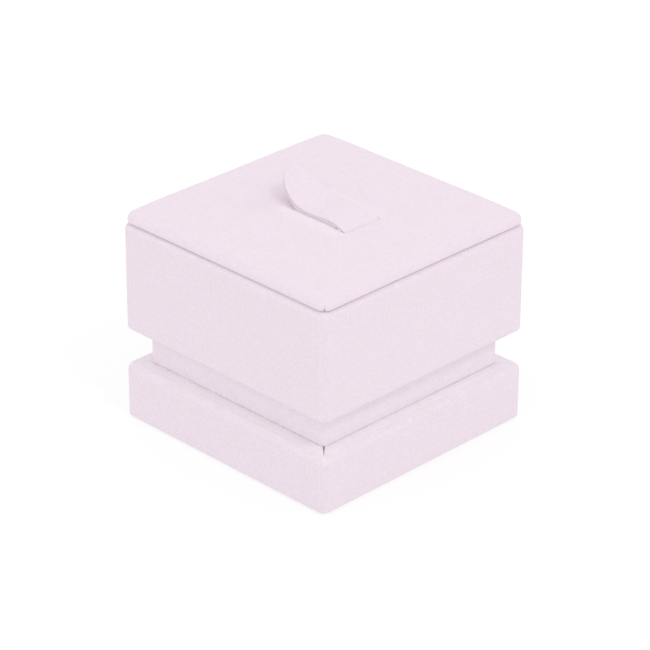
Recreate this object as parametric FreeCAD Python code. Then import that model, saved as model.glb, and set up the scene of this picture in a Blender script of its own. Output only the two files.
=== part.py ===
"""Ring display box: a suede-wrapped box on a recessed neck and a plinth.

A padded top lies on the rim and lifts off. It carries a sprung tongue that holds one finger ring.
Millimetres, origin at the centre of the underside, +Z up, front face towards -Y.
"""

import FreeCAD
import Part
import math
import os

from FreeCAD import Vector

# Sheet materials
SUEDE = 0.6
LINING = 0.6
BASE_SHEET = 0.3
SEAM_GAP = 0.15
ROUND_STEP = 0.15

# Plinth
PLINTH_SIDE = 60.2
PLINTH_HEIGHT = 12.7
PLINTH_CORNER = 1.85
PLINTH_TOP_ROUND = 1.5
PLINTH_LOW_ROUND = 0.5
PLINTH_TURN_UNDER = 9.0
BASE_SHEET_INSET = 0.9
BASE_SHEET_CORNER = 2.0

# Neck
NECK_SIDE = 52.2
NECK_HEIGHT = 8.1
NECK_CORNER = 0.9
NECK_OVERLAP = 6.0

# Box
BOX_SIDE = 60.0
BOX_HEIGHT = 25.0
BOX_WALL = 4.5
BOX_FLOOR = 4.0
BOX_CORNER = 1.85
BOX_RIM_ROUND = 1.5
BOX_LOW_ROUND = 0.9
RIM_TURN_DOWN = 7.0
WRAP_SEAM_INSET = 4.0

# Pad
PAD_SETBACK = 0.3
PAD_HEIGHT = 2.85
PAD_CROWN = 0.25
PAD_CROWN_MARGIN = 2.0
PAD_CORNER = 2.2
PAD_TOP_ROUND = 1.9
PAD_LOW_ROUND = 0.5
PAD_BOARD = 1.2
PAD_BOARD_INSET = 0.5
PAD_TURN_UNDER = 9.0
TAIL_CLEARANCE = 0.3
PLUG_DEPTH = 4.0
PLUG_CORNER = 1.5
PLUG_CLEARANCE = 0.4

# Ring clip: bowed up out of its slot, then a straight run, then scooped up to the free end
CLIP_WIDTH = 9.7
CLIP_SPRING = 0.25
CLIP_SUEDE = 0.3
CLIP_SPRING_INSET = 0.8
CLIP_ROOT_Y = -10.6
CLIP_ROOT_SINK = 0.35
CLIP_BOW_RADIUS = 8.3
CLIP_RUN_LENGTH = 3.8
CLIP_SCOOP_RADIUS = 13.3
CLIP_LEAVE_ANGLE = 34.0
CLIP_DIP_ANGLE = 4.5
CLIP_TIP_ANGLE = 55.0
CLIP_TIP_LENGTH = 7.8
CLIP_TAIL_LENGTH = 8.0
CLIP_TAIL_GAP = 0.2
SLOT_CLEARANCE = 0.25
SLOT_FLARE_ANGLE = 24.0

# Fasteners
SCREW_DIAMETER = 3.0
SCREW_HEAD = 5.6
SCREW_TIP = 2.0
SCREW_BITE = 5.0
SCREW_SPACING = 26.0
SCREW_CLEARANCE = 0.05
SCREW_RECESS = 1.0
SCREW_RECESS_SPAN = 2.8
PIN_DIAMETER = 1.0
PIN_LENGTH = 12.0
PIN_INSET = 5.0
PIN_CLEARANCE = 0.05
STAPLE_WIDTH = 6.0
STAPLE_WIRE = 0.3
STAPLE_LEG = 0.9
STAPLE_SPACING = 3.0
STAPLE_CLEARANCE = 0.05

# Levels, from the underside up
Z_PLINTH = BASE_SHEET
Z_NECK = Z_PLINTH + PLINTH_HEIGHT
Z_BOX = Z_NECK + NECK_HEIGHT
Z_FLOOR_TOP = Z_BOX + SUEDE + BOX_FLOOR
Z_RIM = Z_BOX + BOX_HEIGHT
Z_PAD_EDGE = Z_RIM + PAD_HEIGHT
Z_PAD_BOARD = Z_RIM + SUEDE

# Widths that follow from the driving ones
PLINTH_CORE = PLINTH_SIDE - 2 * SUEDE
NECK_CORE = NECK_SIDE - 2 * SUEDE
BOX_CORE = BOX_SIDE - 2 * SUEDE
CAVITY = BOX_CORE - 2 * BOX_WALL
MOUTH = CAVITY - 2 * SUEDE
PAD_SIDE = BOX_SIDE - 2 * PAD_SETBACK
PLUG_SIDE = MOUTH - 2 * PLUG_CLEARANCE
NECK_WINDOW = NECK_SIDE - 2 * NECK_OVERLAP
CLIP_HALF = CLIP_SPRING / 2 + CLIP_SUEDE
SLOT_HALF = CLIP_HALF + SLOT_CLEARANCE


def square_block(side, low, high):
    """Return a square block centred on the vertical axis."""
    corner = Vector(-side / 2, -side / 2, low)
    return Part.makeBox(side, side, high - low, corner)


def edges_at(shape, level):
    """Return the edges of a shape that lie wholly at one level."""
    flat = []
    for edge in shape.Edges:
        box = edge.BoundBox
        if abs(box.ZMin - level) < 1e-6 and abs(box.ZMax - level) < 1e-6:
            flat.append(edge)
    return flat


def rounded_block(side, low, high, corner, top=0.0, bottom=0.0):
    """Return a square block with rounded upright corners, top edge and bottom edge."""
    block = square_block(side, low, high)
    upright = [edge for edge in block.Edges if edge.BoundBox.ZLength > (high - low) / 2]
    if corner > 0:
        block = block.makeFillet(corner, upright)
    largest = max(corner - ROUND_STEP, 0)
    if min(top, largest) > 0:
        block = block.makeFillet(min(top, largest), edges_at(block, high))
    if min(bottom, largest) > 0:
        block = block.makeFillet(min(bottom, largest), edges_at(block, low))
    return block


def mitre_cuts(inner, outer, low, high):
    """Return four thin cuts along the diagonals, from an inner square's corners to an outer one's."""
    start = inner / math.sqrt(2) - SEAM_GAP
    length = outer / math.sqrt(2) - start
    cuts = []
    for turn in range(4):
        cut = Part.makeBox(length, SEAM_GAP, high - low, Vector(start, -SEAM_GAP / 2, low))
        cut.rotate(Vector(0, 0, 0), Vector(0, 0, 1), 45 + 90 * turn)
        cuts.append(cut)
    return cuts


def back_seam(half_side, low, high):
    """Return the thin upright cut where the ends of a wrapping meet, near a back corner."""
    place = Vector(NECK_SIDE / 2 - WRAP_SEAM_INSET, half_side - 2 * SUEDE, low)
    return Part.makeBox(SEAM_GAP, 3 * SUEDE, high - low, place)


def screw(length, grow=0.0, recess=True):
    """Return a countersunk screw that points up, its head's flat face at the origin."""
    head = SCREW_HEAD / 2 + grow
    shank = SCREW_DIAMETER / 2 + grow
    profile = [
        Vector(0, 0, 0),
        Vector(head, 0, 0),
        Vector(shank, 0, head - shank),
        Vector(shank, 0, length - SCREW_TIP),
        Vector(0, 0, length + grow),
        Vector(0, 0, 0),
    ]
    body = Part.Face(Part.makePolygon(profile)).revolve(Vector(0, 0, 0), Vector(0, 0, 1), 360)
    if recess:
        span = SCREW_RECESS_SPAN
        width = span / 4
        bars = [
            Part.makeBox(span, width, SCREW_RECESS, Vector(-span / 2, -width / 2, 0)),
            Part.makeBox(width, span, SCREW_RECESS, Vector(-width / 2, -span / 2, 0)),
        ]
        body = body.cut(bars)
    return body


def lower_screws(grow=0.0, recess=True):
    """Return the two screws that go up through the plinth into the neck."""
    head_level = Z_PLINTH + SUEDE
    length = Z_NECK + SCREW_BITE - head_level
    screws = []
    for side in (-1, 1):
        one = screw(length, grow, recess)
        one.translate(Vector(side * SCREW_SPACING / 2, 0, head_level))
        screws.append(one)
    return screws


def upper_screws(grow=0.0, recess=True):
    """Return the two screws that go down through the box floor into the neck."""
    length = Z_FLOOR_TOP - Z_BOX + SCREW_BITE
    screws = []
    for side in (-1, 1):
        one = screw(length, grow, recess)
        one.rotate(Vector(0, 0, 0), Vector(1, 0, 0), 180)
        one.translate(Vector(0, side * SCREW_SPACING / 2, Z_FLOOR_TOP))
        screws.append(one)
    return screws


def corner_pins(grow=0.0):
    """Return the brads, two to a corner, each driven from a wall's face into its neighbour."""
    face = -BOX_CORE / 2
    across = BOX_CORE / 2 - BOX_WALL / 2
    levels = (Z_FLOOR_TOP + PIN_INSET, Z_RIM - SUEDE - PIN_INSET)
    pins = []
    for turn in range(4):
        for level in levels:
            start = Vector(across, face, level)
            pin = Part.makeCylinder(PIN_DIAMETER / 2 + grow, PIN_LENGTH + grow, start, Vector(0, 1, 0))
            pin.rotate(Vector(0, 0, 0), Vector(0, 0, 1), 90 * turn)
            pins.append(pin)
    return pins


def plinth():
    """Return the plinth's board, wrapping, underside sheet and screws."""
    top = Z_NECK - SUEDE
    core = rounded_block(
        PLINTH_CORE, Z_PLINTH + SUEDE, top, PLINTH_CORNER - SUEDE, PLINTH_TOP_ROUND - SUEDE
    )
    skin = rounded_block(
        PLINTH_SIDE, Z_PLINTH, Z_NECK, PLINTH_CORNER, PLINTH_TOP_ROUND, PLINTH_LOW_ROUND
    )
    under_window = PLINTH_SIDE - 2 * PLINTH_TURN_UNDER
    flat_edge = PLINTH_SIDE - 2 * PLINTH_TOP_ROUND
    gaps = [
        core,
        square_block(NECK_WINDOW, top, Z_NECK),
        square_block(under_window, Z_PLINTH, Z_PLINTH + SUEDE),
        back_seam(PLINTH_SIDE / 2, Z_PLINTH, Z_NECK),
    ]
    gaps += mitre_cuts(NECK_WINDOW, flat_edge, top, Z_NECK)
    sheet_side = PLINTH_SIDE - 2 * BASE_SHEET_INSET
    return {
        "base_sheet": rounded_block(sheet_side, 0, BASE_SHEET, BASE_SHEET_CORNER),
        "plinth_board": core.cut(lower_screws(SCREW_CLEARANCE, False)),
        "plinth_wrap": skin.cut(gaps),
        "plinth_screws": Part.makeCompound(lower_screws()),
    }


def neck():
    """Return the neck's block and the band round it."""
    core = rounded_block(NECK_CORE, Z_NECK, Z_BOX, NECK_CORNER - SUEDE)
    band = rounded_block(NECK_SIDE, Z_NECK, Z_BOX, NECK_CORNER)
    holes = lower_screws(SCREW_CLEARANCE, False) + upper_screws(SCREW_CLEARANCE, False)
    return {
        "neck_block": core.cut(holes),
        "neck_wrap": band.cut([core, back_seam(NECK_SIDE / 2, Z_NECK, Z_BOX)]),
    }


def box_walls(core):
    """Return the four mitred wall boards, cut from the box's rounded core."""
    reach = BOX_SIDE
    wedge_outline = [Vector(0, 0, Z_FLOOR_TOP), Vector(-reach, -reach, Z_FLOOR_TOP)]
    wedge_outline += [Vector(reach, -reach, Z_FLOOR_TOP), Vector(0, 0, Z_FLOOR_TOP)]
    wedge = Part.Face(Part.makePolygon(wedge_outline)).extrude(Vector(0, 0, BOX_HEIGHT))
    ring = core.cut(square_block(CAVITY, Z_FLOOR_TOP, Z_RIM))
    front = ring.common(wedge)
    holes = corner_pins(PIN_CLEARANCE)
    walls = {}
    for turn, name in enumerate(("front", "right", "back", "left")):
        wall = front.copy()
        wall.rotate(Vector(0, 0, 0), Vector(0, 0, 1), 90 * turn)
        walls[f"box_{name}_wall"] = wall.cut(holes)
    return walls


def box():
    """Return the box's boards, wrapping, linings and fasteners."""
    low = Z_BOX + SUEDE
    high = Z_RIM - SUEDE
    core = rounded_block(
        BOX_CORE, low, high, BOX_CORNER - SUEDE, BOX_RIM_ROUND - SUEDE, BOX_LOW_ROUND - SUEDE
    )
    skin = rounded_block(BOX_SIDE, Z_BOX, Z_RIM, BOX_CORNER, BOX_RIM_ROUND, BOX_LOW_ROUND)
    turned_edge = Z_RIM - RIM_TURN_DOWN
    inside = core.cut(square_block(CAVITY, turned_edge, Z_RIM))
    gaps = [
        inside,
        square_block(MOUTH, turned_edge, Z_RIM),
        square_block(NECK_WINDOW, Z_BOX, low),
        back_seam(BOX_SIDE / 2, Z_BOX, Z_RIM),
    ]
    gaps += mitre_cuts(MOUTH, BOX_SIDE - 2 * BOX_RIM_ROUND, high, Z_RIM)
    gaps += mitre_cuts(NECK_WINDOW, BOX_SIDE - 2 * BOX_LOW_ROUND, Z_BOX, low)
    floor = core.common(square_block(BOX_SIDE, low, Z_FLOOR_TOP))
    lining_low = Z_FLOOR_TOP + LINING
    band = square_block(CAVITY, lining_low, turned_edge)
    pieces = {
        "box_floor": floor.cut(upper_screws(SCREW_CLEARANCE, False)),
        "box_wrap": skin.cut(gaps),
        "box_screws": Part.makeCompound(upper_screws()),
        "corner_pins": Part.makeCompound(corner_pins()),
        "lining_floor": square_block(CAVITY, Z_FLOOR_TOP, lining_low),
        "lining_band": band.cut(square_block(CAVITY - 2 * LINING, lining_low, turned_edge)),
    }
    pieces.update(box_walls(core.common(square_block(BOX_SIDE, Z_FLOOR_TOP, Z_RIM))))
    return pieces


def crown_rise(radius):
    """Return how far the pad's crowned top stands above its edge, at a distance from the middle."""
    reach = PAD_SIDE / 2 - PAD_CROWN_MARGIN
    return PAD_CROWN * (1 - (radius / reach) ** 2)


def pad_form(inset, low):
    """Return the pad's crowned form, drawn in by an inset on its sides and its top."""
    top = Z_PAD_EDGE - inset
    block = rounded_block(
        PAD_SIDE - 2 * inset, low, top, PAD_CORNER - inset, PAD_TOP_ROUND - inset,
        max(PAD_LOW_ROUND - inset, 0),
    )
    reach = PAD_SIDE / 2 - PAD_CROWN_MARGIN - inset
    ball = (reach ** 2 + PAD_CROWN ** 2) / (2 * PAD_CROWN)
    arc = Part.Arc(
        Vector(0, 0, top + PAD_CROWN),
        Vector(reach / 2, 0, top + PAD_CROWN - ball + math.sqrt(ball ** 2 - reach ** 2 / 4)),
        Vector(reach, 0, top),
    )
    base = top - SUEDE / 2
    edges = [
        arc.toShape(),
        Part.makeLine(Vector(reach, 0, top), Vector(reach, 0, base)),
        Part.makeLine(Vector(reach, 0, base), Vector(0, 0, base)),
        Part.makeLine(Vector(0, 0, base), Vector(0, 0, top + PAD_CROWN)),
    ]
    crown = Part.Face(Part.Wire(edges)).revolve(Vector(0, 0, 0), Vector(0, 0, 1), 360)
    return block.fuse(crown).removeSplitter()


def clip_slot():
    """Return the slot through the pad, flared where the clip leans out of it."""
    flare = math.radians(SLOT_FLARE_ANGLE)
    hinge = hinge_level()
    low = Z_RIM
    high = Z_PAD_EDGE + 2 * PAD_CROWN
    flare_y = CLIP_ROOT_Y + SLOT_HALF * math.sin(flare)
    flare_z = hinge - SLOT_HALF * math.cos(flare)
    front = CLIP_ROOT_Y - SLOT_HALF
    back = CLIP_ROOT_Y + SLOT_HALF
    outline = [
        (front, high),
        (front, low),
        (back, low),
        (back, flare_z + (back - flare_y) * math.tan(flare)),
        (flare_y + (high - flare_z) / math.tan(flare), high),
        (front, high),
    ]
    left = -CLIP_WIDTH / 2 - SLOT_CLEARANCE
    points = [Vector(left, y, z) for y, z in outline]
    return Part.Face(Part.makePolygon(points)).extrude(Vector(-2 * left, 0, 0))


def pad():
    """Return the pad's board, foam, cover, plug and plug cover."""
    slot = clip_slot()
    board_side = PAD_SIDE - 2 * SUEDE - 2 * PAD_BOARD_INSET
    board_top = Z_PAD_BOARD + PAD_BOARD
    board = rounded_block(board_side, Z_PAD_BOARD, board_top, PAD_CORNER - SUEDE)
    filling = pad_form(SUEDE, Z_PAD_BOARD)
    window = PAD_SIDE - 2 * PAD_TURN_UNDER
    tail_room = Part.makeBox(
        CLIP_WIDTH, CLIP_TAIL_LENGTH, SUEDE,
        Vector(-CLIP_WIDTH / 2, CLIP_ROOT_Y - CLIP_TAIL_LENGTH - TAIL_CLEARANCE, Z_RIM),
    )
    cover_gaps = [filling, square_block(window, Z_RIM, Z_PAD_BOARD), tail_room, slot]
    cover_gaps += mitre_cuts(window, PAD_SIDE - 2 * PAD_CORNER, Z_RIM, Z_PAD_BOARD)
    plug_low = Z_RIM - PLUG_DEPTH
    plug = rounded_block(
        PLUG_SIDE - 2 * SUEDE, plug_low + SUEDE, Z_RIM, PLUG_CORNER - SUEDE
    )
    plug_skin = rounded_block(PLUG_SIDE, plug_low, Z_RIM, PLUG_CORNER, 0, SUEDE)
    holes = staples(STAPLE_CLEARANCE)
    return {
        "pad_board": board.cut([slot] + holes),
        "pad_foam": filling.cut([board, slot]),
        "pad_wrap": pad_form(0, Z_RIM).cut(cover_gaps),
        "plug_board": plug,
        "plug_cover": plug_skin.cut(plug),
    }


def hinge_level():
    """Return the height of the line that the clip flexes about, just under the pad's top."""
    return Z_PAD_EDGE + crown_rise(abs(CLIP_ROOT_Y)) - CLIP_ROOT_SINK


def clip_point(offset, slope, scooped):
    """Return a point of the clip's side view, at an offset from its middle line, where it has a slope."""
    leave = math.radians(CLIP_LEAVE_ANGLE)
    dip = math.radians(CLIP_DIP_ANGLE)
    angle = math.radians(slope)
    bow_y = CLIP_ROOT_Y + CLIP_BOW_RADIUS * math.sin(leave)
    bow_z = hinge_level() - CLIP_BOW_RADIUS * math.cos(leave)
    if not scooped:
        radius = CLIP_BOW_RADIUS + offset
        return Vector(0, bow_y - radius * math.sin(angle), bow_z + radius * math.cos(angle))
    reach = CLIP_BOW_RADIUS + CLIP_SCOOP_RADIUS
    radius = CLIP_SCOOP_RADIUS - offset
    scoop_y = bow_y + reach * math.sin(dip) + CLIP_RUN_LENGTH * math.cos(dip)
    scoop_z = bow_z + reach * math.cos(dip) - CLIP_RUN_LENGTH * math.sin(dip)
    return Vector(0, scoop_y + radius * math.sin(angle), scoop_z - radius * math.cos(angle))


def clip_line(offset):
    """Return the clip's edges in side view, at an offset from its middle line, root first."""
    bow = [clip_point(offset, slope, False) for slope in clip_slopes(CLIP_LEAVE_ANGLE, -CLIP_DIP_ANGLE)]
    scoop = [clip_point(offset, slope, True) for slope in clip_slopes(-CLIP_DIP_ANGLE, CLIP_TIP_ANGLE)]
    run = Part.makeLine(bow[-1], scoop[0])
    return [Part.Arc(*bow).toShape(), run, Part.Arc(*scoop).toShape()]


def clip_slopes(start, end):
    """Return the slopes at the start, middle and end of one of the clip's arcs."""
    return (start, (start + end) / 2, end)


def clip_outline(inset):
    """Return an upright block with the clip's shape in plan: straight sides and an oval free end."""
    half = CLIP_WIDTH / 2 - inset
    tip = clip_point(0, CLIP_TIP_ANGLE, True).y - inset
    oval_y = tip - CLIP_TIP_LENGTH
    root = CLIP_ROOT_Y - 2 * CLIP_HALF
    low = Z_RIM
    height = 2 * CLIP_SCOOP_RADIUS
    stretch = FreeCAD.Matrix()
    stretch.scale(1, CLIP_TIP_LENGTH / half, 1)
    oval = Part.makeCylinder(half, height).transformGeometry(stretch)
    oval.translate(Vector(0, oval_y, low))
    strip = Part.makeBox(2 * half, oval_y - root, height, Vector(-half, root, low))
    return strip.fuse(oval)


def clip_layer(low, high, inset, round_root):
    """Return one layer of the clip, between two offsets from its middle line."""
    root_high = clip_point(high, CLIP_LEAVE_ANGLE, False)
    root_low = clip_point(low, CLIP_LEAVE_ANGLE, False)
    tip_high = clip_point(high, CLIP_TIP_ANGLE, True)
    tip_low = clip_point(low, CLIP_TIP_ANGLE, True)
    root = Part.makeLine(root_low, root_high)
    if round_root:
        leave = math.radians(CLIP_LEAVE_ANGLE)
        back = Vector(0, -math.cos(leave), -math.sin(leave)) * ((high - low) / 2)
        root = Part.Arc(root_low, (root_low + root_high) * 0.5 + back, root_high).toShape()
    edges = [root, Part.makeLine(tip_high, tip_low)] + clip_line(high) + clip_line(low)
    side_view = Part.Face(Part.Wire(Part.__sortEdges__(edges)))
    side_view.translate(Vector(-CLIP_WIDTH, 0, 0))
    band = side_view.extrude(Vector(2 * CLIP_WIDTH, 0, 0))
    return band.common(clip_outline(inset))


def staples(grow=0.0):
    """Return the two flat staples across the clip's tail, with their legs up in the pad board."""
    wire = STAPLE_WIRE + 2 * grow
    crown_low = Z_PAD_BOARD - CLIP_SPRING - STAPLE_WIRE
    leg_top = Z_PAD_BOARD + STAPLE_LEG + grow
    middle = CLIP_ROOT_Y - CLIP_TAIL_LENGTH / 2
    made = []
    for side in (-1, 1):
        front = middle + side * STAPLE_SPACING / 2 - wire / 2
        left = -STAPLE_WIDTH / 2 - grow
        staple = Part.makeBox(-2 * left, wire, STAPLE_WIRE, Vector(left, front, crown_low))
        for leg_left in (left, -left - wire):
            leg = Part.makeBox(wire, wire, leg_top - crown_low, Vector(leg_left, front, crown_low))
            staple = staple.fuse(leg)
        made.append(staple.removeSplitter())
    return made


def clip_tail():
    """Return the fixed end of the spring strip: up through the slot, and flat under the pad board."""
    half = CLIP_WIDTH / 2 - CLIP_SPRING_INSET
    top = hinge_level() - CLIP_HALF - CLIP_TAIL_GAP
    low = Z_PAD_BOARD - CLIP_SPRING
    upright = Part.makeBox(2 * half, CLIP_SPRING, top - low, Vector(-half, CLIP_ROOT_Y, low))
    flat_start = Vector(-half, CLIP_ROOT_Y - CLIP_TAIL_LENGTH, low)
    flat = Part.makeBox(2 * half, CLIP_TAIL_LENGTH + CLIP_SPRING, CLIP_SPRING, flat_start)
    return upright.fuse(flat).removeSplitter().cut(staples(STAPLE_CLEARANCE))


def clip():
    """Return the clip's spring, its two suede layers, its tail and the tail's staples."""
    spring = CLIP_SPRING / 2
    return {
        "clip_spring": clip_layer(-spring, spring, CLIP_SPRING_INSET, True),
        "clip_top_suede": clip_layer(spring, CLIP_HALF, 0, False),
        "clip_under_suede": clip_layer(-CLIP_HALF, -spring, 0, False),
        "clip_tail": clip_tail(),
        "tail_staples": Part.makeCompound(staples()),
    }


def main():
    """Build every piece and write each to its own file."""
    os.makedirs("parts", exist_ok=True)
    for assembly in (plinth(), neck(), box(), pad(), clip()):
        for name, shape in assembly.items():
            shape.exportStep(f"parts/{name}.step")
            print(name, len(shape.Solids), shape.isValid(), round(shape.Volume, 2))


main()
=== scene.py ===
"""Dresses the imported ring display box.

That is its suede wrappings, padded top, sprung tongue, linings, boards and fasteners. Everything is in metres
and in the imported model's own frame: origin under the middle of the base, +Z up, front face towards -Y.
"""

import logging
import math
from dataclasses import dataclass
from enum import Enum
from typing import Callable

import bmesh
import bpy
from mathutils import Matrix, Vector, noise


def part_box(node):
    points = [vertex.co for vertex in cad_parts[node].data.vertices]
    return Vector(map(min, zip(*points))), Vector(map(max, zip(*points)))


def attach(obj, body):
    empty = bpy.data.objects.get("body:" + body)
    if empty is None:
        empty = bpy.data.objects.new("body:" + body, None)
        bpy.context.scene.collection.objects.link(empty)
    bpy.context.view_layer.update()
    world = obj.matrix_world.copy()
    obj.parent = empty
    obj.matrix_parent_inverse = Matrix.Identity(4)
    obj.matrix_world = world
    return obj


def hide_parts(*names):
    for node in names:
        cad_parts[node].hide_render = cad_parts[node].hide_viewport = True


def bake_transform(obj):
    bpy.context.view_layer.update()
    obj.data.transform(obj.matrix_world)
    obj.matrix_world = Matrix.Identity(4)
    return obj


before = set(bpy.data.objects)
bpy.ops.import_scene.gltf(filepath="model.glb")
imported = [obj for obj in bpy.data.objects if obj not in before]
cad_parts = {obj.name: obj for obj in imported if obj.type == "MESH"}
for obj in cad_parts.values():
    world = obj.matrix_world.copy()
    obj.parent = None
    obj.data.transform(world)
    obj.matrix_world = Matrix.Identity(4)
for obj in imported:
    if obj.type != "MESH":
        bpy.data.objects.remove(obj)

MM = 0.001
NEAR = 1e-6
SLIVER = 0.01 * MM
SHARP_ANGLE = math.radians(42)

# Sizes that several wrappings share
SUEDE = 0.6 * MM
BESIDE_ROUND = 0.3 * MM
NECK_WINDOW = 20.1 * MM
SEAM_PLACE = 22.175 * MM
SEAM_GAP = 0.14 * MM
SEAM_REACH = 1.2 * MM
MITRE_SLACK = 0.25 * MM
# Rounded edges reach their full wear and painted shade where their normal is this far off the nearest axis.
EDGE_WEAR_AND_SHADE_REACH = 0.25

LOG = logging.getLogger("ring_display_box")


class Body(Enum):
    """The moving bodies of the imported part."""

    STAND = "stand"
    PAD = "pad"
    CLIP = "clip"


class Slot(Enum):
    """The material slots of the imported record."""

    SUEDE = "suede"
    LINING = "lining_suede"
    FELT = "felt"
    BOARD = "fibre_board"
    CARD = "card"
    FOAM = "foam"
    SPRING = "spring_steel"
    ZINC = "zinc_steel"


class Mark(Enum):
    """Painted amounts that ride on a mesh's points and that a finish reads."""

    # Rounded edges: worn nap, and painted shade that tones down the highlight the lamps put there.
    EDGE_WEAR_AND_SHADE = "edge_wear_and_shade"
    # Cut edges of the tongue: the cut cloth's own darker tone, and painted shade along the outlines where the
    # tongue meets the pad.
    RAW = "raw_edge_and_shade"
    # Painted light: paler colour that lifts the shade in recesses and beside the tongue.
    PAINTED_LIGHT = "painted_light"


@dataclass(frozen=True)
class Shade:
    """A linear colour."""

    red: float
    green: float
    blue: float

    def rgba(self) -> tuple[float, float, float, float]:
        """Returns the colour as a socket takes it."""
        return (self.red, self.green, self.blue, 1.0)

    def times(self, share: float) -> "Shade":
        """Returns the colour made lighter or darker by a share."""
        return Shade(self.red * share, self.green * share, self.blue * share)


class NodeBench:
    """Wires up the nodes of one material round its shader."""

    def __init__(self, name: str) -> None:
        """Starts a material.

        Args:
            name: the material's name.
        """
        self.material = bpy.data.materials.new(name)
        self.material.use_nodes = True
        self.nodes = self.material.node_tree.nodes
        self.links = self.material.node_tree.links
        self.shader = self.nodes["Principled BSDF"]
        self.place = self.nodes.new("ShaderNodeTexCoord").outputs["Object"]

    def settle(self, values: dict[str, float | tuple[float, ...]]) -> None:
        """Sets what is the same all over the surface on the shader's own sockets.

        Args:
            values: socket names and their values.
        """
        for socket, value in values.items():
            self.shader.inputs[socket].default_value = value

    def stretched(self, stretch: tuple[float, float, float]) -> bpy.types.NodeSocket:
        """Returns object coordinates scaled by a different share along each axis."""
        mapping = self.nodes.new("ShaderNodeMapping")
        mapping.inputs["Scale"].default_value = stretch
        self.links.new(self.place, mapping.inputs["Vector"])
        return mapping.outputs["Vector"]

    def grain(
        self,
        scale: float,
        detail: float = 2.0,
        roughness: float = 0.5,
        stretch: tuple[float, float, float] = (1.0, 1.0, 1.0),
    ) -> bpy.types.NodeSocket:
        """Adds a soft irregular grain.

        Args:
            scale: grains to the metre.
            detail: octaves of finer grain.
            roughness: how strong the finer grain is.
            stretch: shares by which the grain is tightened along each axis.

        Returns:
            The grain's amount, about one half on average.
        """
        texture = self.nodes.new("ShaderNodeTexNoise")
        texture.inputs["Scale"].default_value = scale
        texture.inputs["Detail"].default_value = detail
        texture.inputs["Roughness"].default_value = roughness
        self.links.new(self.stretched(stretch), texture.inputs["Vector"])
        return texture.outputs["Fac"]

    def cells(self, scale: float, output: str = "Distance") -> bpy.types.NodeSocket:
        """Adds scattered cells.

        Args:
            scale: cells to the metre.
            output: the texture's output that is wanted.

        Returns:
            That output.
        """
        texture = self.nodes.new("ShaderNodeTexVoronoi")
        texture.inputs["Scale"].default_value = scale
        self.links.new(self.place, texture.inputs["Vector"])
        return texture.outputs[output]

    def painted(self, mark: Mark) -> bpy.types.NodeSocket:
        """Returns an amount painted on the mesh's points, nought where there is none."""
        attribute = self.nodes.new("ShaderNodeAttribute")
        attribute.attribute_name = mark.value
        return attribute.outputs["Fac"]

    def sum_up(self, operation: str, first: object, second: object) -> bpy.types.NodeSocket:
        """Adds a sum.

        Args:
            operation: the Math node's operation.
            first: a socket or a number.
            second: a socket or a number.

        Returns:
            The result.
        """
        node = self.nodes.new("ShaderNodeMath")
        node.operation = operation
        for socket, value in zip(node.inputs, (first, second)):
            if isinstance(value, bpy.types.NodeSocket):
                self.links.new(value, socket)
            else:
                socket.default_value = value
        return node.outputs["Value"]

    def swing(self, amount: bpy.types.NodeSocket, reach: float) -> bpy.types.NodeSocket:
        """Returns an amount's departure from one half, multiplied by a reach."""
        return self.sum_up("MULTIPLY", self.sum_up("SUBTRACT", amount, 0.5), reach)

    def between(self, share: bpy.types.NodeSocket, low: Shade, high: Shade) -> bpy.types.NodeSocket:
        """Mixes two shades.

        Args:
            share: nought for the first shade, one for the second.
            low: the first shade.
            high: the second shade.

        Returns:
            The mixed colour.
        """
        mix = self.nodes.new("ShaderNodeMix")
        mix.data_type = "RGBA"
        mix.inputs[6].default_value = low.rgba()
        mix.inputs[7].default_value = high.rgba()
        self.links.new(share, mix.inputs[0])
        return mix.outputs[2]

    def tinted(self, colour: bpy.types.NodeSocket, mark: Mark, tint: Shade) -> bpy.types.NodeSocket:
        """Makes a colour lighter or darker where a mark is painted.

        Args:
            colour: the colour.
            mark: the painted amount.
            tint: what the colour is multiplied by where that amount is one.

        Returns:
            The tinted colour.
        """
        mix = self.nodes.new("ShaderNodeMix")
        mix.data_type = "RGBA"
        mix.blend_type = "MULTIPLY"
        mix.inputs[7].default_value = tint.rgba()
        self.links.new(self.painted(mark), mix.inputs[0])
        self.links.new(colour, mix.inputs[6])
        return mix.outputs[2]

    def paint(self, colour: bpy.types.NodeSocket) -> None:
        """Gives the surface its colour."""
        self.links.new(colour, self.shader.inputs["Base Color"])

    def colour(self, share: bpy.types.NodeSocket, low: Shade, high: Shade) -> None:
        """Paints the surface between two shades."""
        self.paint(self.between(share, low, high))

    def roughen(self, share: bpy.types.NodeSocket, low: float, high: float) -> None:
        """Sets the surface's roughness between two values.

        Args:
            share: nought for the low value, one for the high one.
            low: the low value.
            high: the high value.
        """
        spread = self.nodes.new("ShaderNodeMapRange")
        spread.inputs["To Min"].default_value = low
        spread.inputs["To Max"].default_value = high
        self.links.new(share, spread.inputs["Value"])
        self.links.new(spread.outputs["Result"], self.shader.inputs["Roughness"])

    def emboss(self, height: bpy.types.NodeSocket, strength: float, depth: float) -> None:
        """Raises the surface's fine relief.

        Args:
            height: the relief.
            strength: how much of it shows.
            depth: its depth in metres.
        """
        bump = self.nodes.new("ShaderNodeBump")
        bump.inputs["Strength"].default_value = strength
        bump.inputs["Distance"].default_value = depth
        self.links.new(height, bump.inputs["Height"])
        self.links.new(bump.outputs["Normal"], self.shader.inputs["Normal"])


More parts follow.
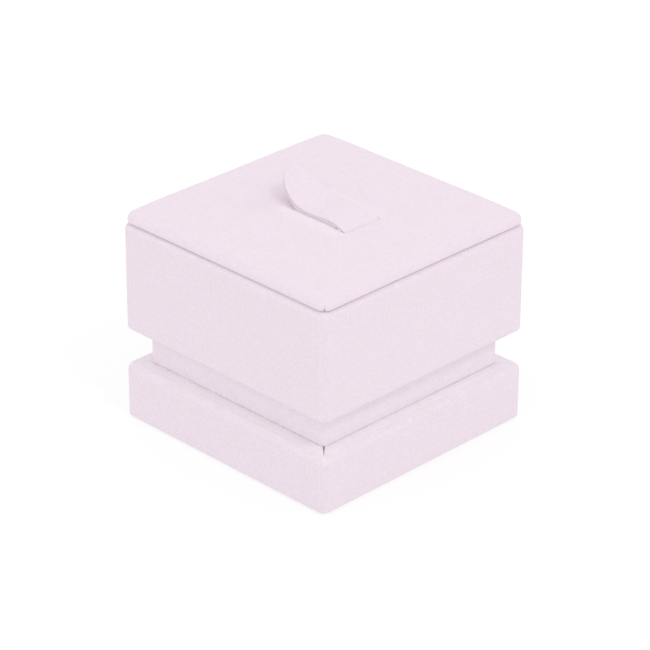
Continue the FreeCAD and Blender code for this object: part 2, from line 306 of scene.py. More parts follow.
@dataclass(frozen=True)
class SuedeFinish:
    """Brushed microfibre suede: fine nap, short pile, faint clouds and a little lint.

    It is a little darker on its rounded edges, as wear and as painted shade that tones down their highlight,
    darker still on cut edges, as cut cloth and as painted shade along the tongue's outlines, and paler where
    painted light lifts the shade of recesses and creases.
    """

    name: str
    shade: Shade
    nap_scale: float = 1600.0
    pile_scale: float = 6800.0
    cloud_scale: float = 140.0
    patch_scale: float = 620.0
    lint_scale: float = 230.0
    nap_depth: float = 1.0
    pile_depth: float = 0.35
    cloud_depth: float = 0.1
    patch_depth: float = 0.12
    darkest: float = 0.88
    lightest: float = 1.12
    lint_reach: float = 0.075
    lint_slope: float = 12.0
    lint_rarity: float = 0.35
    lint_depth: float = 0.5
    # Darker on rounded edges: partly wear, partly painted shade that tones down the lamps' highlight.
    edge_wear_and_shade: Shade = Shade(0.98, 0.98, 0.98)
    # Darker on cut edges: partly the cut cloth, partly painted shade.
    raw_edge_and_shade: Shade = Shade(0.9, 0.9, 0.9)
    # Painted light: lightening that stands in for light reaching recesses and creases.
    painted_light: Shade = Shade(1.2, 1.3, 1.225)

    def make(self) -> bpy.types.Material:
        """Returns the finish as a material."""
        bench = NodeBench(self.name)
        nap = bench.grain(self.nap_scale, 3.0, 0.6)
        pile = bench.grain(self.pile_scale, 1.0, 0.5, (1.0, 0.45, 0.7))
        cloud = bench.grain(self.cloud_scale, 2.0, 0.5)
        patch = bench.grain(self.patch_scale, 2.0, 0.5)
        tone = bench.sum_up("ADD", 0.5, bench.swing(nap, self.nap_depth))
        tone = bench.sum_up("ADD", tone, bench.swing(pile, self.pile_depth))
        tone = bench.sum_up("ADD", tone, bench.swing(cloud, self.cloud_depth))
        tone = bench.sum_up("ADD", tone, bench.swing(patch, self.patch_depth))
        tone = bench.sum_up("SUBTRACT", tone, self.lint(bench))
        colour = bench.between(tone, self.shade.times(self.darkest), self.shade.times(self.lightest))
        # Rounded edges darkened, as wear and as painted shade.
        colour = bench.tinted(colour, Mark.EDGE_WEAR_AND_SHADE, self.edge_wear_and_shade)
        # Cut edges darkened, as cut cloth and as painted shade.
        colour = bench.tinted(colour, Mark.RAW, self.raw_edge_and_shade)
        # Painted light lifts the shade in recesses and creases.
        bench.paint(bench.tinted(colour, Mark.PAINTED_LIGHT, self.painted_light))
        bench.roughen(pile, 0.82, 0.98)
        relief = bench.sum_up("ADD", nap, bench.sum_up("MULTIPLY", pile, 0.6))
        bench.emboss(relief, 0.25, 0.00012)
        bench.settle(
            {
                "Specular IOR Level": 0.2,
                "Sheen Weight": 0.12,
                "Sheen Roughness": 0.45,
                "Sheen Tint": (1.0, 0.94, 0.98, 1.0),
            }
        )
        return bench.material

    def lint(self, bench: NodeBench) -> bpy.types.NodeSocket:
        """Returns the darkening of a few specks of lint, far apart."""
        inside = bench.sum_up("SUBTRACT", self.lint_reach, bench.cells(self.lint_scale))
        near = bench.sum_up("MAXIMUM", bench.sum_up("MULTIPLY", inside, self.lint_slope), 0.0)
        chosen = bench.sum_up("GREATER_THAN", bench.cells(self.lint_scale, "Color"), self.lint_rarity)
        return bench.sum_up("MULTIPLY", bench.sum_up("MULTIPLY", near, chosen), self.lint_depth)


@dataclass(frozen=True)
class FeltFinish:
    """Pressed felt: matted fibres that run every way."""

    name: str
    shade: Shade
    fibre_scale: float = 1900.0
    mat_scale: float = 420.0

    def make(self) -> bpy.types.Material:
        """Returns the finish as a material."""
        bench = NodeBench(self.name)
        long_way = bench.grain(self.fibre_scale, 2.0, 0.6, (1.0, 0.16, 1.0))
        cross_way = bench.grain(self.fibre_scale, 2.0, 0.6, (0.16, 1.0, 1.0))
        mat = bench.grain(self.mat_scale, 3.0, 0.6)
        fibres = bench.sum_up("MAXIMUM", long_way, cross_way)
        tone = bench.sum_up("ADD", bench.swing(fibres, 1.1), bench.swing(mat, 0.7))
        bench.colour(bench.sum_up("ADD", tone, 0.45), self.shade.times(0.78), self.shade.times(1.15))
        bench.roughen(mat, 0.9, 1.0)
        bench.emboss(fibres, 0.5, 0.0002)
        bench.settle({"Specular IOR Level": 0.15, "Sheen Weight": 0.2, "Sheen Roughness": 0.6})
        return bench.material


@dataclass(frozen=True)
class BoardFinish:
    """Pressed fibre board or card: short flecks in a plain ground."""

    name: str
    shade: Shade
    fleck_scale: float = 1400.0
    stretch: tuple[float, float, float] = (1.0, 0.4, 1.0)
    contrast: float = 1.4

    def make(self) -> bpy.types.Material:
        """Returns the finish as a material."""
        bench = NodeBench(self.name)
        fleck = bench.grain(self.fleck_scale, 4.0, 0.65, self.stretch)
        cross = bench.grain(self.fleck_scale * 0.6, 3.0, 0.6, (0.4, 1.0, 0.7))
        ground = bench.grain(90.0, 2.0, 0.5)
        tone = bench.sum_up("ADD", bench.swing(fleck, self.contrast), bench.swing(cross, 0.8))
        tone = bench.sum_up("ADD", tone, bench.swing(ground, 0.4))
        bench.colour(bench.sum_up("ADD", tone, 0.5), self.shade.times(0.68), self.shade.times(1.25))
        bench.roughen(fleck, 0.7, 0.95)
        bench.emboss(fleck, 0.35, 0.0001)
        bench.settle({"Specular IOR Level": 0.3})
        return bench.material


@dataclass(frozen=True)
class FoamFinish:
    """Open-celled foam: small pits in a pale ground."""

    name: str
    shade: Shade
    cell_scale: float = 2200.0

    def make(self) -> bpy.types.Material:
        """Returns the finish as a material."""
        bench = NodeBench(self.name)
        cell = bench.cells(self.cell_scale)
        ground = bench.grain(260.0, 2.0, 0.5)
        tone = bench.sum_up("ADD", bench.sum_up("MULTIPLY", cell, 0.9), bench.swing(ground, 0.4))
        bench.colour(tone, self.shade.times(0.72), self.shade)
        bench.roughen(cell, 0.85, 1.0)
        bench.emboss(cell, 0.7, 0.0003)
        bench.settle({"Specular IOR Level": 0.2})
        return bench.material


@dataclass(frozen=True)
class SteelFinish:
    """Rolled or plated steel: fine lines along the roll and a little clouding."""

    name: str
    shade: Shade
    line_scale: float = 5200.0
    stretch: tuple[float, float, float] = (1.0, 0.05, 0.05)
    low_gloss: float = 0.24
    high_gloss: float = 0.46

    def make(self) -> bpy.types.Material:
        """Returns the finish as a material."""
        bench = NodeBench(self.name)
        line = bench.grain(self.line_scale, 2.0, 0.6, self.stretch)
        cloud = bench.grain(600.0, 3.0, 0.6)
        tone = bench.sum_up("ADD", bench.swing(line, 0.8), bench.swing(cloud, 0.7))
        bench.colour(bench.sum_up("ADD", tone, 0.5), self.shade.times(0.75), self.shade.times(1.15))
        bench.roughen(cloud, self.low_gloss, self.high_gloss)
        bench.emboss(line, 0.12, 0.00004)
        bench.settle({"Metallic": 1.0})
        return bench.material


@dataclass(frozen=True)
class FloorFinish:
    """A plain pale floor that glows faintly, like a light table, with hardly any mottling."""

    name: str = "pale_floor"
    shade: Shade = Shade(0.3, 0.3, 0.3)
    glow: float = 0.69

    def make(self) -> bpy.types.Material:
        """Returns the finish as a material."""
        bench = NodeBench(self.name)
        cloud = bench.grain(40.0, 2.0, 0.5)
        bench.colour(cloud, self.shade.times(0.995), self.shade.times(1.005))
        bench.settle(
            {
                "Roughness": 1.0,
                "Specular IOR Level": 0.0,
                "Emission Color": (1.0, 1.0, 1.0, 1.0),
                "Emission Strength": self.glow,
            }
        )
        return bench.material


SUEDE_SHADE = Shade(0.775, 0.682, 0.753)


class Palette:
    """The finishes of the box, one to each material slot, and the flatter nap of pad and tongue."""

    def __init__(self) -> None:
        """Makes every finish once."""
        self.finishes: dict[Slot, bpy.types.Material] = {
            Slot.SUEDE: SuedeFinish("lilac_suede", SUEDE_SHADE).make(),
            Slot.LINING: SuedeFinish("lining_suede", SUEDE_SHADE.times(0.97), nap_scale=2900.0).make(),
            Slot.FELT: FeltFinish("base_felt", Shade(0.7, 0.62, 0.68)).make(),
            Slot.BOARD: BoardFinish("fibre_board", Shade(0.42, 0.29, 0.18)).make(),
            Slot.CARD: BoardFinish("grey_card", Shade(0.4, 0.38, 0.35), 1900.0, contrast=1.0).make(),
            Slot.FOAM: FoamFinish("white_foam", Shade(0.82, 0.8, 0.74)).make(),
            Slot.SPRING: SteelFinish("spring_steel", Shade(0.5, 0.51, 0.53)).make(),
            Slot.ZINC: SteelFinish(
                "zinc_steel", Shade(0.62, 0.62, 0.6), 2600.0, (1.0, 1.0, 0.3), 0.3, 0.5
            ).make(),
        }
        self.pressed_suede = SuedeFinish("pressed_suede", SUEDE_SHADE, nap_depth=0.68).make()

    def dress_nodes(self, slot: Slot, *nodes: str) -> None:
        """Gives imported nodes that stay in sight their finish.

        Args:
            slot: the material slot.
            nodes: the nodes' names.
        """
        for node in nodes:
            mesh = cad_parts[node].data
            mesh.materials.clear()
            mesh.materials.append(self.finishes[slot])
            LOG.info("dressed %s in %s", node, slot.value)


def on_level(level: float, reach: float = math.inf) -> Callable[[Vector], bool]:
    """Gives a test of whether a point lies on a level.

    Args:
        level: the level's height.
        reach: how far out from the middle the point may be.

    Returns:
        The test.
    """
    return lambda p: abs(p.z - level) < NEAR and max(abs(p.x), abs(p.y)) < reach


class SheetForm:
    """A mesh in the making: a square block's skin that is cut, opened and thickened like a glued sheet."""

    def __init__(self) -> None:
        """Starts an empty mesh with the painted amounts on its points."""
        self.bm = bmesh.new()
        self.marks = {mark: self.bm.verts.layers.float.new(mark.value) for mark in Mark}

    def block(
        self, low: Vector, high: Vector, corner: float, top: float, bottom: float, steps: int = 8
    ) -> "SheetForm":
        """Adds a block with rounded upright corners, top edge and bottom edge.

        Args:
            low: the block's lowest corner.
            high: its highest corner.
            corner: radius of the upright corners.
            top: radius of the top edge.
            bottom: radius of the bottom edge.
            steps: faces in each rounding of a corner.

        Returns:
            The form itself.
        """
        size = high - low
        bmesh.ops.create_cube(self.bm, size=1.0)
        bmesh.ops.scale(self.bm, vec=size, verts=self.bm.verts)
        bmesh.ops.translate(self.bm, vec=(low + high) / 2, verts=self.bm.verts)
        uprights = [
            e for e in self.bm.edges if abs(e.verts[0].co.z - e.verts[1].co.z) > size.z / 2
        ]
        self.round_off(uprights, corner, steps)
        for level, radius in ((high.z, top), (low.z, bottom)):
            if radius > 0:
                rim = [e for e in self.bm.edges if all(abs(v.co.z - level) < NEAR for v in e.verts)]
                self.round_off(rim, radius, max(steps - 2, 3))
        return self

    def round_off(self, edges: list[bmesh.types.BMEdge], radius: float, steps: int) -> None:
        """Rounds some edges off.

        Args:
            edges: the edges.
            radius: the rounding's radius.
            steps: faces in the rounding.
        """
        bmesh.ops.bevel(
            self.bm,
            geom=edges,
            offset=radius,
            offset_type="OFFSET",
            affect="EDGES",
            segments=steps,
            profile=0.5,
            material=-1,
            clamp_overlap=False,
        )

    def cut(
        self,
        point: Vector,
        normal: Vector,
        within: Callable[[Vector], bool] | None = None,
    ) -> None:
        """Divides faces along a plane and keeps both sides.

        Args:
            point: a point of the plane.
            normal: the plane's normal.
            within: says by a face's middle whether it is divided; all faces are where it is left out.
        """
        faces = [f for f in self.bm.faces if within is None or within(f.calc_center_median())]
        edges = {e for f in faces for e in f.edges}
        verts = {v for f in faces for v in f.verts}
        bmesh.ops.bisect_plane(
            self.bm, geom=[*verts, *edges, *faces], dist=NEAR / 10, plane_co=point, plane_no=normal
        )

    def cut_grid(self, low: Vector, high: Vector, step: float, holds: dict[int, tuple[float, ...]]) -> None:
        """Divides the skin into cells, with lines of its own beside each rounding.

        Args:
            low: the skin's lowest corner.
            high: its highest corner.
            step: the cells' size.
            holds: for each axis, the extra places to divide at.
        """
        for axis in range(3):
            count = max(int(round((high[axis] - low[axis]) / step)), 2)
            places = [low[axis] + (high[axis] - low[axis]) * i / count for i in range(1, count)]
            normal = Vector((float(axis == 0), float(axis == 1), float(axis == 2)))
            for place in [*places, *holds.get(axis, ())]:
                self.cut(normal * place, normal)

    def open_window(self, half: float, level: float) -> None:
        """Takes out the flat middle of the skin at one level.

        Args:
            half: half the opening's side.
            level: the height of the flat that is opened.
        """
        at_level = on_level(level)
        for sign in (-1, 1):
            self.cut(Vector((sign * half, 0, 0)), Vector((1, 0, 0)), at_level)
            self.cut(Vector((0, sign * half, 0)), Vector((0, 1, 0)), at_level)
        inside = [
            f
            for f in self.bm.faces
            if at_level(f.calc_center_median())
            and max(abs(f.calc_center_median().x), abs(f.calc_center_median().y)) < half
        ]
        bmesh.ops.delete(self.bm, geom=inside, context="FACES")

    def turn_in(self, half: float, level: float, depth: float, steps: int) -> None:
        """Turns the skin down into an opening.

        Args:
            half: half the opening's side.
            level: the height of the opening.
            depth: how far the skin goes down.
            steps: rows of faces in the turned-in part.
        """
        beside = half + MITRE_SLACK
        rim = [
            e
            for e in self.bm.edges
            if e.is_boundary
            and all(abs(v.co.z - level) < NEAR and max(abs(v.co.x), abs(v.co.y)) < beside for v in e.verts)
        ]
        for _ in range(steps):
            made = bmesh.ops.extrude_edge_only(self.bm, edges=rim)["geom"]
            verts = [g for g in made if isinstance(g, bmesh.types.BMVert)]
            bmesh.ops.translate(self.bm, vec=Vector((0, 0, -depth / steps)), verts=verts)
            for vert in verts:
                vert.co.xy = (min(max(n, -half), half) for n in vert.co.xy)
            rim = [
                g
                for g in made
                if isinstance(g, bmesh.types.BMEdge) and all(v in set(verts) for v in g.verts)
            ]

    def open_seam(
        self,
        edges: list[bmesh.types.BMEdge],
        across: Vector,
        gap: Callable[[Vector], float],
    ) -> None:
        """Parts the skin along some edges.

        Args:
            edges: the edges, in one line.
            across: the direction in which the two sides part.
            gap: gives the gap's width at a point.
        """
        middle = sum((v.co for e in edges for v in e.verts), Vector()) / (2 * len(edges))
        line = {v for e in edges for v in e.verts}
        parted = bmesh.ops.split_edges(self.bm, edges=edges)["edges"]
        for vert in line | {v for e in parted for v in e.verts}:
            sides = [(f.calc_center_median() - middle).dot(across) for f in vert.link_faces]
            if sides and (min(sides) > 0 or max(sides) < 0):
                vert.co += across * math.copysign(gap(vert.co) / 2, sides[0])

    def cut_mitres(
        self, inner: float, outer: float, level: float, wide: float, narrow: float, snug: float = 1.0
    ) -> None:
        """Cuts the four corners of a turned margin along their diagonals.

        Args:
            inner: half the side of the square where each cut starts.
            outer: half the side of the square where it ends.
            level: the margin's height.
            wide: the gap at the start.
            narrow: the gap at the end.
            snug: the share of the gap that the corners other than the front one have.
        """
        at_level = on_level(level, outer + MM)
        for sign in (-1, 1):
            across = Vector((1, -sign, 0)).normalized()
            self.cut(Vector(), across, at_level)
            for end in (-1, 1):
                seam = [
                    e
                    for e in self.bm.edges
                    if all(
                        abs(v.co.z - level) < NEAR
                        and abs(v.co.dot(across)) < NEAR
                        and inner - NEAR < end * v.co.x < outer + NEAR
                        for v in e.verts
                    )
                ]
                reach = max(outer - inner, NEAR)
                share = 1.0 if sign == 1 and end == -1 else snug
                self.open_seam(
                    seam,
                    across,
                    lambda p: share * (narrow + (wide - narrow) * max(outer - abs(p.x), 0.0) / reach),
                )

    def cut_upright_seam(self, side: float, low: float, high: float) -> None:
        """Parts the skin up its back face, where the two ends of the wrapping meet.

        Args:
            side: half the wrapping's side.
            low: the seam's lower end.
            high: its upper end.
        """
        normal, place = Vector((1, 0, 0)), SEAM_PLACE
        self.cut(normal * place, normal, lambda p: p.y > side - SEAM_REACH)
        seam = [
            e
            for e in self.bm.edges
            if all(
                abs(v.co.x - place) < NEAR
                and v.co.y > side - SEAM_REACH
                and low - NEAR < v.co.z < high + NEAR
                for v in e.verts
            )
        ]
        self.open_seam(seam, normal, lambda p: SEAM_GAP)

    def mark_edge_wear_and_shade(self) -> None:
        """Marks the rounded edges, darkened as worn nap and as painted shade that tones down their highlight.
        """
        self.bm.normal_update()
        for vert in self.bm.verts:
            flat = max(abs(vert.normal.x), abs(vert.normal.y), abs(vert.normal.z))
            vert[self.marks[Mark.EDGE_WEAR_AND_SHADE]] = min(max((1 - flat) / EDGE_WEAR_AND_SHADE_REACH, 0.0), 1.0)

    def paint_light(self, amount: Callable[[Vector], float]) -> None:
        """Marks where painted light makes the nap paler, to lift the shade of a recess or crease.

        Args:
            amount: gives the amount at a point, from nought to one.
        """
        for vert in self.bm.verts:
            vert[self.marks[Mark.PAINTED_LIGHT]] = amount(vert.co)

    def ripple(self, height: float, length: float, seed: float) -> None:
        """Moves the skin in and out a little, as glued suede lies.

        Args:
            height: the most that it moves.
            length: the size of a ripple.
            seed: sets this piece's ripples apart from the others'.
        """
        self.bm.normal_update()
        offset = Vector((seed, 2 * seed, 3 * seed))
        moves = [
            (v, v.normal * noise.noise(v.co / length + offset) * height) for v in self.bm.verts
        ]
        for vert, move in moves:
            vert.co += move

    def thicken(self, thickness: float) -> None:
        """Gives the sheet its thickness, inwards from its outer face."""
        bmesh.ops.solidify(self.bm, geom=self.bm.faces[:], thickness=thickness)

    def piece(self, name: str, material: bpy.types.Material) -> bpy.types.Object:
        """Ends the mesh as an object in the scene.

        Args:
            name: the piece's name.
            material: its finish.

        Returns:
            The object, at the origin.
        """
        mesh = bpy.data.meshes.new(name)
        self.bm.to_mesh(mesh)
        self.bm.free()
        mesh.materials.append(material)
        mesh.shade_smooth()
        mesh.set_sharp_from_angle(angle=SHARP_ANGLE)
        made = bpy.data.objects.new(name, mesh)
        bpy.context.scene.collection.objects.link(made)
        return made


def settle_piece(piece: bpy.types.Object, body: Body, slot: Slot, *nodes: str) -> bpy.types.Object:
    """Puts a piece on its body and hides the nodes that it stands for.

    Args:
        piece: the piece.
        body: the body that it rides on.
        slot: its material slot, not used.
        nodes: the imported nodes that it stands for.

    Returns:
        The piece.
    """
    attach(piece, body.value)
    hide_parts(*nodes)
    LOG.info("built %s on %s: %d faces", piece.name, body.value, len(piece.data.polygons))
    return piece


@dataclass
class Plinth:
    """The low square foot: a wrapped board with a felt sheet under it."""

    corner: float = 1.85 * MM
    top_round: float = 1.5 * MM
    low_round: float = 0.5 * MM
    under_margin: float = 9.0 * MM
    top_mitre: tuple[float, float, float] = (0.75 * MM, 0.05 * MM, 0.2)
    under_mitre: tuple[float, float] = (0.5 * MM, 0.1 * MM)
    ripples: tuple[float, float, float] = (0.04 * MM, 11 * MM, 3.1)
    # Painted light on the top margin, which lifts the shade under the box's overhang: the place out to which
    # it is full, the place along a side from which it thins towards the corners, and how much it thins there.
    painted_light_edge: float = 28.1 * MM
    painted_light_end: float = 16.0 * MM
    painted_light_fade: float = 0.35
    cell: float = 2.4 * MM
    felt_corner: float = 2.0 * MM
    felt_rounds: tuple[float, float] = (0.1 * MM, 0.06 * MM)
    felt_cell: float = 2.8 * MM

    def build(self, palette: Palette) -> None:
        """Builds the wrapping and the felt and dresses the board and screws.

        Args:
            palette: the finishes.
        """
        self.wrapping(palette)
        self.felt(palette)
        palette.dress_nodes(Slot.BOARD, "plinth_board")
        palette.dress_nodes(Slot.ZINC, "plinth_screws")

    def wrapping(self, palette: Palette) -> bpy.types.Object:
        """Returns the suede round the plinth, mitred on its top and underside."""
        low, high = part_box("plinth_wrap")
        half = high.x
        form = SheetForm().block(low, high, self.corner, self.top_round, self.low_round)
        hold = half - self.corner - BESIDE_ROUND
        edge = self.painted_light_edge
        sides = (-hold, hold, -edge, edge)
        rows = (high.z - self.top_round - BESIDE_ROUND,)
        form.cut_grid(low, high, self.cell, {0: sides, 1: sides, 2: rows})
        form.open_window(NECK_WINDOW, high.z)
        form.open_window(half - self.under_margin, low.z)
        form.mark_edge_wear_and_shade()
        # Painted light on the top margin, under the box's overhang.
        form.paint_light(lambda p: self.painted_light(p, high))
        form.cut_mitres(NECK_WINDOW, half - self.top_round, high.z, *self.top_mitre)
        form.cut_mitres(half - self.under_margin, half - self.corner, low.z, *self.under_mitre)
        form.cut_upright_seam(half, low.z + self.low_round, high.z - self.top_round)
        form.ripple(*self.ripples)
        form.thicken(SUEDE)
        piece = form.piece("plinth_suede", palette.finishes[Slot.SUEDE])
        settle_piece(piece, Body.STAND, Slot.SUEDE, "plinth_wrap")
        return piece

    def painted_light(self, point: Vector, high: Vector) -> float:
        """Says how much painted light a point of the wrapping gets, to lift the shade under the box's
        overhang.

        Args:
            point: the point.
            high: the wrapping's highest corner.

        Returns:
            One on the top margin, less at its corners, falling to nought round its edge.
        """
        along, out = sorted((abs(point.x), abs(point.y)))
        share = min(max((high.x - out) / (high.x - self.painted_light_edge), 0.0), 1.0)
        corner = min(max((along - self.painted_light_end) / (self.painted_light_edge - self.painted_light_end), 0.0), 1.0)
        return share * (1 - self.painted_light_fade * corner) if point.z > high.z - self.top_round else 0.0

    def felt(self, palette: Palette) -> bpy.types.Object:
        """Returns the felt sheet that the plinth stands on."""
        low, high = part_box("base_sheet")
        form = SheetForm().block(low, high, self.felt_corner, *self.felt_rounds)
        form.cut_grid(low, high, self.felt_cell, {})
        piece = form.piece("base_felt", palette.finishes[Slot.FELT])
        settle_piece(piece, Body.STAND, Slot.FELT, "base_sheet")
        return piece


@dataclass
class Neck:
    """The recessed neck between the plinth and the box."""

    corner: float = 0.9 * MM
    edge_round: float = 0.32 * MM
    foot_round: float = 0.35 * MM
    ripples: tuple[float, float, float] = (0.04 * MM, 11 * MM, 7.7)
    # Painted light on the band, lifting the shade of the recess: least at its top, under the box, and most at
    # its foot.
    painted_light_top: float = 0.03
    painted_light_foot: float = 0.32
    cell: float = 2.4 * MM

    def build(self, palette: Palette) -> None:
        """Builds the band round the neck and dresses the block.

        Args:
            palette: the finishes.
        """
        self.band(palette)
        palette.dress_nodes(Slot.BOARD, "neck_block")

    def band(self, palette: Palette) -> bpy.types.Object:
        """Returns the suede band, its edges drawn in against the plinth and the box."""
        low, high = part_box("neck_wrap")
        half = high.x
        form = SheetForm().block(low, high, self.corner, self.edge_round, self.foot_round)
        hold = half - self.corner - BESIDE_ROUND
        form.cut_grid(low, high, self.cell, {0: (-hold, hold), 1: (-hold, hold)})
        form.mark_edge_wear_and_shade()
        # Painted light rising from the band's top to its foot.
        rise = (self.painted_light_top - self.painted_light_foot) / (high.z - low.z)
        form.paint_light(lambda p: self.painted_light_foot + rise * (p.z - low.z))
        form.open_window(half - self.foot_round, low.z)
        form.open_window(half - self.edge_round, high.z)
        form.cut_upright_seam(half, low.z, high.z)
        form.ripple(*self.ripples)
        form.thicken(SUEDE)
        piece = form.piece("neck_suede", palette.finishes[Slot.SUEDE])
        return settle_piece(piece, Body.STAND, Slot.SUEDE, "neck_wrap")


@dataclass
class Box:
    """The upper box: mitred boards in suede, open at the top and lined."""

    corner: float = 1.85 * MM
    rim_round: float = 1.5 * MM
    low_round: float = 0.9 * MM
    mouth: float = 24.3 * MM
    turn_down: float = 7.0 * MM
    turn_rows: int = 5
    rim_mitre: tuple[float, float] = (0.3 * MM, 0.05 * MM)
    under_mitre: tuple[float, float] = (0.5 * MM, 0.08 * MM)
    ripples: tuple[float, float, float] = (0.04 * MM, 12 * MM, 5.3)
    cell: float = 2.4 * MM
    lining_corner: float = 0.25 * MM
    lining_edge: float = 0.15 * MM
    lining_steps: int = 4
    lining_cell: float = 2.6 * MM
    lining_ripples: tuple[float, float, float] = (0.03 * MM, 9 * MM, 9.2)
    floor_rounds: tuple[float, float] = (0.2 * MM, 0.1 * MM)

    def build(self, palette: Palette) -> None:
        """Builds the wrapping and the linings and dresses the boards and fasteners.

        Args:
            palette: the finishes.
        """
        self.wrapping(palette)
        self.wall_lining(palette)
        self.floor_lining(palette)
        walls = [f"box_{side}_wall" for side in ("front", "back", "left", "right")]
        palette.dress_nodes(Slot.BOARD, "box_floor", *walls)
        palette.dress_nodes(Slot.ZINC, "box_screws", "corner_pins")

    def wrapping(self, palette: Palette) -> bpy.types.Object:
        """Returns the suede round the box, turned over the rim into the mouth."""
        low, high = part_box("box_wrap")
        half = high.x
        form = SheetForm().block(low, high, self.corner, self.rim_round, self.low_round)
        hold = half - self.corner - BESIDE_ROUND
        rows = (low.z + self.low_round + BESIDE_ROUND, high.z - self.rim_round - BESIDE_ROUND)
        form.cut_grid(low, high, self.cell, {0: (-hold, hold), 1: (-hold, hold), 2: rows})
        form.open_window(self.mouth, high.z)
        form.open_window(NECK_WINDOW, low.z)
        form.mark_edge_wear_and_shade()
        form.cut_mitres(self.mouth, half - self.rim_round, high.z, *self.rim_mitre)
        form.cut_mitres(NECK_WINDOW, half - self.corner, low.z, *self.under_mitre)
        form.turn_in(self.mouth, high.z, self.turn_down, self.turn_rows)
        form.cut_upright_seam(half, low.z + self.low_round, high.z - self.rim_round)
        form.ripple(*self.ripples)
        form.thicken(SUEDE)
        piece = form.piece("box_suede", palette.finishes[Slot.SUEDE])
        settle_piece(piece, Body.STAND, Slot.SUEDE, "box_wrap")
        return piece

    def wall_lining(self, palette: Palette) -> bpy.types.Object:
        """Returns the lining band inside the walls."""
        low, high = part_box("lining_band")
        edge = self.lining_edge
        form = SheetForm().block(low, high, self.lining_corner, edge, edge, self.lining_steps)
        form.cut_grid(low, high, self.lining_cell, {})
        for level in (low.z, high.z):
            form.open_window(high.x - edge, level)
        form.ripple(*self.lining_ripples)
        form.thicken(SUEDE)
        piece = form.piece("wall_lining", palette.finishes[Slot.LINING])
        settle_piece(piece, Body.STAND, Slot.LINING, "lining_band")
        return piece

    def floor_lining(self, palette: Palette) -> bpy.types.Object:
        """Returns the lining laid on the box's floor."""
        low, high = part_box("lining_floor")
        form = SheetForm().block(low, high, self.lining_corner, *self.floor_rounds, self.lining_steps)
        form.cut_grid(low, high, self.lining_cell, {})
        piece = form.piece("floor_lining", palette.finishes[Slot.LINING])
        settle_piece(piece, Body.STAND, Slot.LINING, "lining_floor")
        return piece


